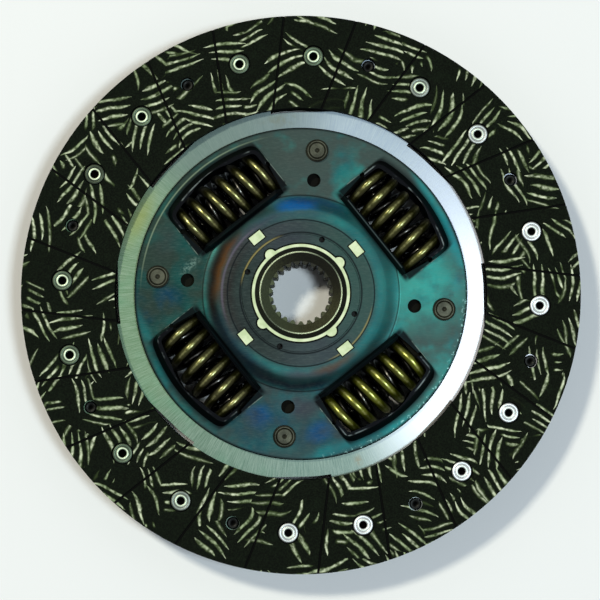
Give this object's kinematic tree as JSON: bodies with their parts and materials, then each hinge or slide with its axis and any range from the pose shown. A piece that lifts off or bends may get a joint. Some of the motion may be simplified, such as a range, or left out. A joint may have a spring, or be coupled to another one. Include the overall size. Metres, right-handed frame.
{
  "type": "clutch disc",
  "caption": "Dry clutch driven disc: riveted friction facings on a waved cushion plate, coil spring damper in louvred windows and a splined hub that turns against it.",
  "frame": {"origin": "on the hub's axis, at the hub's rear end, on which the disc rests", "axes": "+Z along the hub's axis, from the gearbox side to the flywheel side; +X and +Y in the disc's plane"},
  "size_m": [0.225, 0.225, 0.0254],
  "materials": {
    "facing": "matt moulded friction material",
    "rivet": "bright, lightly brushed",
    "cushion_steel": "fine circular brushing",
    "tinted_plate": "heat-tinted oxide, teal to violet",
    "spring_steel": "oiled dark steel",
    "pin_steel": "dark, riveted over",
    "hub_steel": "dark phosphated forging",
    "bush_plastic": "natural moulded plastic",
    "washer_steel": "plain strip steel"
  },
  "bodies": {
    "disc": {"front_facing": "facing", "rear_facing": "facing", "front_facing_rivets": "rivet", "rear_facing_rivets": "rivet", "cushion_plate": "cushion_steel", "front_plate": "tinted_plate", "rear_plate": "tinted_plate", "front_bush": "bush_plastic", "rear_bush": "bush_plastic", "front_friction_washer": "bush_plastic", "rear_friction_washer": "bush_plastic", "rear_thrust_washer": "washer_steel", "cone_spring": "washer_steel", "stop_pin_1": "pin_steel", "stop_pin_2": "pin_steel", "stop_pin_3": "pin_steel", "stop_pin_4": "pin_steel"},
    "hub": {"hub": "hub_steel"},
    "damper_springs": {"outer_spring_1": "spring_steel", "outer_spring_2": "spring_steel", "outer_spring_3": "spring_steel", "outer_spring_4": "spring_steel", "inner_spring_1": "spring_steel", "inner_spring_2": "spring_steel", "inner_spring_3": "spring_steel", "inner_spring_4": "spring_steel"}
  },
  "joints": [
    {"name": "hub_twist", "type": "hinge", "parent": "disc", "child": "hub", "pos_m": [0, 0, 0.014], "axis": [0, 0, 1], "range_deg": [-9.5, 9.5], "stiffness_Nm_per_rad": 12, "deforming": ["outer_spring_1", "outer_spring_2", "outer_spring_3", "outer_spring_4", "inner_spring_1", "inner_spring_2", "inner_spring_3", "inner_spring_4"]},
    {"name": "spring_drift", "type": "hinge", "parent": "disc", "child": "damper_springs", "pos_m": [0, 0, 0.014], "axis": [0, 0, 1], "range_deg": [-4.75, 4.75]}
  ],
  "couplings": [
    {"joint": "spring_drift", "follows": "hub_twist", "ratio": 0.5}
  ]
}
